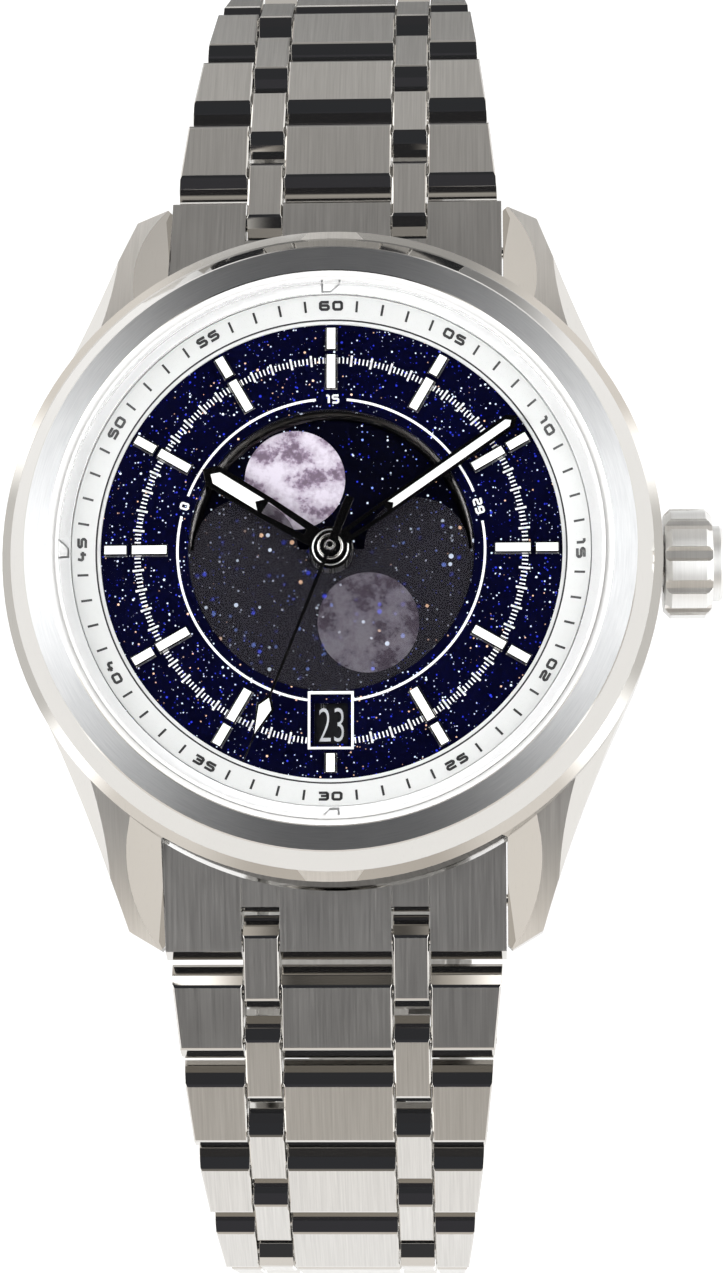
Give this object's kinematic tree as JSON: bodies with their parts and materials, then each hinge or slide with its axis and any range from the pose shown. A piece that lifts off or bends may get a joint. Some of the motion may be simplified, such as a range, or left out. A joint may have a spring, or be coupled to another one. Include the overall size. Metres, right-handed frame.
{
  "type": "moon phase wristwatch",
  "caption": "Round steel wristwatch with a moon phase dial, date window, lobed crown and a tapered link bracelet that is closed by a folding clasp.",
  "frame": {"origin": "centre of the case back's flat face", "axes": "+Z out through the dial, +Y to 12 o'clock, +X to the crown at 3 o'clock"},
  "size_m": [0.046, 0.0923, 0.0491],
  "materials": {
    "satin_steel": "satin brushed",
    "polished_steel": "polished",
    "plated_plate": "plated, striped",
    "brass": "satin gilt",
    "sapphire": "clear, polished",
    "smoked_glass": "smoked",
    "gasket_rubber": "matte",
    "holder_plastic": "matte",
    "flange_silver": "satin silver",
    "night_blue": "speckled blue",
    "date_black": "matte black",
    "lume": "matte"
  },
  "bodies": {
    "case": {"mid_case": "satin_steel", "bezel": "satin_steel", "crystal": "sapphire", "case_gaskets": "gasket_rubber", "case_back": "satin_steel", "back_window": "sapphire", "crown_tube": "satin_steel", "movement_ring": "holder_plastic", "lug_bars": "polished_steel", "end_link_12": "satin_steel", "end_link_6": "satin_steel", "dial": "night_blue", "moon_mask": "smoked_glass", "minute_flange": "flange_silver", "date_frame": "polished_steel", "hour_indices": "polished_steel", "mainplate": "plated_plate", "train_bridge": "plated_plate", "balance_cock": "plated_plate", "hairspring": "polished_steel"},
    "winding_gear": {"winding_pinion": "polished_steel"},
    "crown_and_stem": {"crown": "polished_steel", "winding_stem": "polished_steel"},
    "hour": {"hour_hand": "polished_steel", "hour_lume": "lume"},
    "minute": {"minute_hand": "polished_steel", "minute_lume": "lume", "centre_wheel": "brass"},
    "seconds": {"seconds_hand": "polished_steel", "seconds_wheel": "brass"},
    "third": {"third_wheel": "brass"},
    "escape": {"escape_wheel": "polished_steel"},
    "mainspring_barrel": {"barrel": "brass"},
    "moon": {"moon_disc": "night_blue"},
    "date": {"date_disc": "date_black"},
    "fork": {"pallet_fork": "polished_steel"},
    "balance": {"balance_wheel": "brass"},
    "winding_rotor": {"rotor": "plated_plate"},
    "link_12_1": {"link_12_1": "satin_steel"},
    "link_12_2": {"link_12_2": "satin_steel"},
    "link_12_3": {"link_12_3": "satin_steel"},
    "link_12_4": {"link_12_4": "satin_steel"},
    "link_12_5": {"link_12_5": "satin_steel"},
    "link_12_6": {"link_12_6": "satin_steel"},
    "link_12_7": {"link_12_7": "satin_steel"},
    "link_12_8": {"link_12_8": "satin_steel"},
    "link_12_9": {"link_12_9": "satin_steel"},
    "link_6_1": {"link_6_1": "satin_steel"},
    "link_6_2": {"link_6_2": "satin_steel"},
    "link_6_3": {"link_6_3": "satin_steel"},
    "link_6_4": {"link_6_4": "satin_steel"},
    "link_6_5": {"link_6_5": "satin_steel"},
    "link_6_6": {"link_6_6": "satin_steel"},
    "link_6_7": {"link_6_7": "satin_steel"},
    "link_6_8": {"link_6_8": "satin_steel"},
    "long_blade": {"long_blade": "polished_steel"},
    "short_blade": {"short_blade": "polished_steel"},
    "clasp_cover": {"clasp_cover": "satin_steel"},
    "pusher_left": {"pusher_left": "polished_steel"},
    "pusher_right": {"pusher_right": "polished_steel"}
  },
  "joints": [
    {"name": "crown_turn", "type": "hinge", "parent": "case", "child": "winding_gear", "pos_m": [0.00985, 0, 0.0044], "axis": [1, 0, 0], "continuous": true},
    {"name": "crown_pull", "type": "slide", "parent": "winding_gear", "child": "crown_and_stem", "axis": [1, 0, 0], "range_m": [0, 0.001]},
    {"name": "seconds_turn", "type": "hinge", "parent": "case", "child": "seconds", "pos_m": [0, 0, 0.01115], "axis": [0, 0, -1], "continuous": true},
    {"name": "minute_turn", "type": "hinge", "parent": "case", "child": "minute", "pos_m": [0, 0, 0.01085], "axis": [0, 0, -1], "continuous": true},
    {"name": "hour_turn", "type": "hinge", "parent": "case", "child": "hour", "pos_m": [0, 0, 0.01055], "axis": [0, 0, -1], "continuous": true},
    {"name": "third_turn", "type": "hinge", "parent": "case", "child": "third", "pos_m": [-0.00359, -0.00131, 0.00456], "axis": [0, 0, -1], "continuous": true},
    {"name": "escape_turn", "type": "hinge", "parent": "case", "child": "escape", "pos_m": [0, -0.00364, 0.0054], "axis": [0, 0, -1], "continuous": true},
    {"name": "barrel_turn", "type": "hinge", "parent": "case", "child": "mainspring_barrel", "pos_m": [-0.00192, 0.00527, 0.0056], "axis": [0, 0, -1], "continuous": true},
    {"name": "moon_turn", "type": "hinge", "parent": "case", "child": "moon", "pos_m": [0, 0, 0.0092], "axis": [0, 0, -1], "continuous": true},
    {"name": "date_turn", "type": "hinge", "parent": "case", "child": "date", "pos_m": [0, 0, 0.0092], "axis": [0, 0, -1], "continuous": true},
    {"name": "balance_swing", "type": "hinge", "parent": "case", "child": "balance", "pos_m": [0.00521, -0.00607, 0.0047], "axis": [0, 0, 1], "range_deg": [-270, 270], "stiffness_Nm_per_rad": 0.0000004},
    {"name": "pallet_rock", "type": "hinge", "parent": "case", "child": "fork", "pos_m": [0.00249, -0.0048, 0.0054], "axis": [0, 0, 1], "range_deg": [-5, 5]},
    {"name": "rotor_turn", "type": "hinge", "parent": "case", "child": "winding_rotor", "pos_m": [0, 0, 0.00305], "axis": [0, 0, 1], "continuous": true},
    {"name": "link_12_1_hinge", "type": "hinge", "parent": "case", "child": "link_12_1", "pos_m": [0, 0.0239, 0.00195], "axis": [1, 0, 0], "range_deg": [0, 7]},
    {"name": "link_12_2_hinge", "type": "hinge", "parent": "link_12_1", "child": "link_12_2", "pos_m": [0, 0.03011, -0.00027], "axis": [1, 0, 0], "range_deg": [0, 17.9]},
    {"name": "link_12_3_hinge", "type": "hinge", "parent": "link_12_2", "child": "link_12_3", "pos_m": [0, 0.03574, -0.00373], "axis": [1, 0, 0], "range_deg": [0, 15.1]},
    {"name": "link_12_4_hinge", "type": "hinge", "parent": "link_12_3", "child": "link_12_4", "pos_m": [0, 0.04074, -0.00804], "axis": [1, 0, 0], "range_deg": [0, 22.3]},
    {"name": "link_12_5_hinge", "type": "hinge", "parent": "link_12_4", "child": "link_12_5", "pos_m": [0, 0.04433, -0.01357], "axis": [1, 0, 0], "range_deg": [0, 34]},
    {"name": "link_12_6_hinge", "type": "hinge", "parent": "link_12_5", "child": "link_12_6", "pos_m": [0, 0.04491, -0.02015], "axis": [1, 0, 0], "range_deg": [0, 35]},
    {"name": "link_12_7_hinge", "type": "hinge", "parent": "link_12_6", "child": "link_12_7", "pos_m": [0, 0.04222, -0.02618], "axis": [1, 0, 0], "range_deg": [0, 34]},
    {"name": "link_12_8_hinge", "type": "hinge", "parent": "link_12_7", "child": "link_12_8", "pos_m": [0, 0.03702, -0.03024], "axis": [1, 0, 0], "range_deg": [0, 25]},
    {"name": "link_12_9_hinge", "type": "hinge", "parent": "link_12_8", "child": "link_12_9", "pos_m": [0, 0.03078, -0.03239], "axis": [1, 0, 0], "range_deg": [0, 16]},
    {"name": "link_6_1_hinge", "type": "hinge", "parent": "case", "child": "link_6_1", "pos_m": [0, -0.0239, 0.00195], "axis": [-1, 0, 0], "range_deg": [0, 7]},
    {"name": "link_6_2_hinge", "type": "hinge", "parent": "link_6_1", "child": "link_6_2", "pos_m": [0, -0.03011, -0.00027], "axis": [-1, 0, 0], "range_deg": [0, 18.3]},
    {"name": "link_6_3_hinge", "type": "hinge", "parent": "link_6_2", "child": "link_6_3", "pos_m": [0, -0.03571, -0.00377], "axis": [-1, 0, 0], "range_deg": [0, 22.5]},
    {"name": "link_6_4_hinge", "type": "hinge", "parent": "link_6_3", "child": "link_6_4", "pos_m": [0, -0.04008, -0.00872], "axis": [-1, 0, 0], "range_deg": [0, 13.5]},
    {"name": "link_6_5_hinge", "type": "hinge", "parent": "link_6_4", "child": "link_6_5", "pos_m": [0, -0.04377, -0.01419], "axis": [-1, 0, 0], "range_deg": [0, 35]},
    {"name": "link_6_6_hinge", "type": "hinge", "parent": "link_6_5", "child": "link_6_6", "pos_m": [0, -0.04435, -0.02076], "axis": [-1, 0, 0], "range_deg": [0, 37]},
    {"name": "link_6_7_hinge", "type": "hinge", "parent": "link_6_6", "child": "link_6_7", "pos_m": [0, -0.04146, -0.02669], "axis": [-1, 0, 0], "range_deg": [0, 37]},
    {"name": "link_6_8_hinge", "type": "hinge", "parent": "link_6_7", "child": "link_6_8", "pos_m": [0, -0.03592, -0.03029], "axis": [-1, 0, 0], "range_deg": [0, 26]},
    {"name": "long_blade_hinge", "type": "hinge", "parent": "link_12_9", "child": "long_blade", "pos_m": [0, 0.02426, -0.03342], "axis": [1, 0, 0], "range_deg": [0, 16]},
    {"name": "short_blade_hinge", "type": "hinge", "parent": "long_blade", "child": "short_blade", "pos_m": [0, -0.02495, -0.03191], "axis": [-1, 0, 0], "range_deg": [0, 100]},
    {"name": "cover_hinge", "type": "hinge", "parent": "short_blade", "child": "clasp_cover", "pos_m": [0, 0.02067, -0.03331], "axis": [1, 0, 0], "range_deg": [0, 95]},
    {"name": "pusher_left_press", "type": "slide", "parent": "clasp_cover", "child": "pusher_left", "axis": [1, 0, 0], "range_m": [0, 0.0006], "stiffness_N_per_m": 1200},
    {"name": "pusher_right_press", "type": "slide", "parent": "clasp_cover", "child": "pusher_right", "axis": [-1, 0, 0], "range_m": [0, 0.0006], "stiffness_N_per_m": 1200}
  ],
  "couplings": [
    {"joint": "minute_turn", "follows": "seconds_turn", "ratio": 0.016667},
    {"joint": "hour_turn", "follows": "seconds_turn", "ratio": 0.0013889},
    {"joint": "third_turn", "follows": "seconds_turn", "ratio": -0.13333},
    {"joint": "escape_turn", "follows": "seconds_turn", "ratio": -12},
    {"joint": "barrel_turn", "follows": "seconds_turn", "ratio": -0.0022222},
    {"joint": "moon_turn", "follows": "seconds_turn", "ratio": 0.00001177},
    {"joint": "date_turn", "follows": "seconds_turn", "ratio": 0.000022401}
  ]
}
